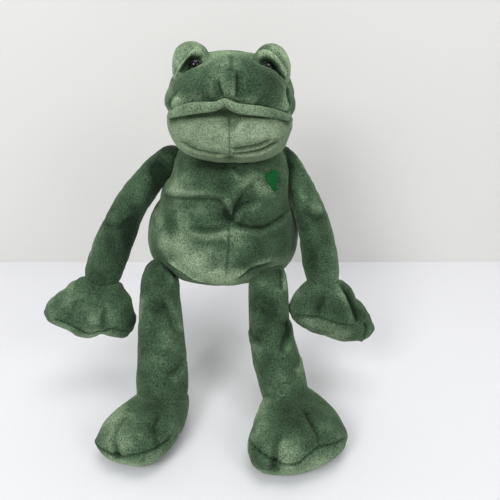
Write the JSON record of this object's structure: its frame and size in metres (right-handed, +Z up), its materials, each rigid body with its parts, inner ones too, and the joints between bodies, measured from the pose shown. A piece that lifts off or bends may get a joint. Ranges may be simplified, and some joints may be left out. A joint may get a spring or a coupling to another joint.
{
  "type": "plush frog",
  "caption": "Seated plush frog with eye mounds, a wide soft mouth, an embroidered heart, and long floppy arms and legs that end in flat padded hands and feet.",
  "frame": {"origin": "middle of the flat patch under the torso that the frog sits on", "axes": "+Z up, the frog faces -Y, its left side is on +X"},
  "size_m": [0.2768, 0.2011, 0.2863],
  "materials": {
    "plush": "short green plush pile",
    "face_plush": "paler short plush pile",
    "heart_thread": "satin stitch",
    "eye_plastic": "polished",
    "washer_plastic": "moulded",
    "fibre_fill": "loose fibre",
    "pellet_pouch": "woven pouch with pellets"
  },
  "bodies": {
    "torso": {"torso": "plush", "heart": "heart_thread", "torso_fill": "fibre_fill", "seat_pouch": "pellet_pouch"},
    "head": {"head": "plush", "head_fill": "fibre_fill", "chin": "face_plush", "snout": "plush", "eye_mound_right": "plush", "eye_right": "eye_plastic", "eye_washer_right": "washer_plastic", "eye_mound_left": "plush", "eye_left": "eye_plastic", "eye_washer_left": "washer_plastic"},
    "arm_right": {"arm_right": "plush", "arm_fill_right": "fibre_fill"},
    "hand_right": {"hand_right": "plush", "hand_pouch_right": "pellet_pouch"},
    "arm_left": {"arm_left": "plush", "arm_fill_left": "fibre_fill"},
    "hand_left": {"hand_left": "plush", "hand_pouch_left": "pellet_pouch"},
    "leg_right": {"leg_right": "plush", "leg_fill_right": "fibre_fill"},
    "foot_right": {"foot_right": "plush", "foot_pouch_right": "pellet_pouch"},
    "leg_left": {"leg_left": "plush", "leg_fill_left": "fibre_fill"},
    "foot_left": {"foot_left": "plush", "foot_pouch_left": "pellet_pouch"}
  },
  "joints": [
    {"name": "neck_nod", "type": "hinge", "parent": "torso", "child": "head", "pos_m": [0.00676, 0.006, 0.104], "axis": [1, 0, 0], "range_deg": [-18, 10]},
    {"name": "shoulder_swing_right", "type": "hinge", "parent": "torso", "child": "arm_right", "pos_m": [-0.0425, 0.003, 0.1], "axis": [-1, 0, 0], "range_deg": [-60, 110]},
    {"name": "wrist_right", "type": "hinge", "parent": "arm_right", "child": "hand_right", "pos_m": [-0.0955, -0.036, 0.02], "axis": [-0.9994, 0, -0.0349], "range_deg": [-40, 40]},
    {"name": "hip_right", "type": "hinge", "parent": "torso", "child": "leg_right", "pos_m": [-0.048, -0.028, 0.015], "axis": [-1, 0, 0], "range_deg": [-40, 40]},
    {"name": "ankle_right", "type": "hinge", "parent": "leg_right", "child": "foot_right", "pos_m": [-0.048, -0.082, -0.061], "axis": [-1, 0, 0], "range_deg": [-25, 25]},
    {"name": "shoulder_swing_left", "type": "hinge", "parent": "torso", "child": "arm_left", "pos_m": [0.0555, 0.003, 0.1], "axis": [-1, 0, 0], "range_deg": [-60, 110]},
    {"name": "wrist_left", "type": "hinge", "parent": "arm_left", "child": "hand_left", "pos_m": [0.085, -0.036, 0.02], "axis": [-0.9703, 0, 0.2419], "range_deg": [-40, 40]},
    {"name": "hip_left", "type": "hinge", "parent": "torso", "child": "leg_left", "pos_m": [0.04, -0.028, 0.015], "axis": [-1, 0, 0], "range_deg": [-40, 40]},
    {"name": "ankle_left", "type": "hinge", "parent": "leg_left", "child": "foot_left", "pos_m": [0.053, -0.082, -0.061], "axis": [-1, 0, 0], "range_deg": [-25, 25]}
  ]
}
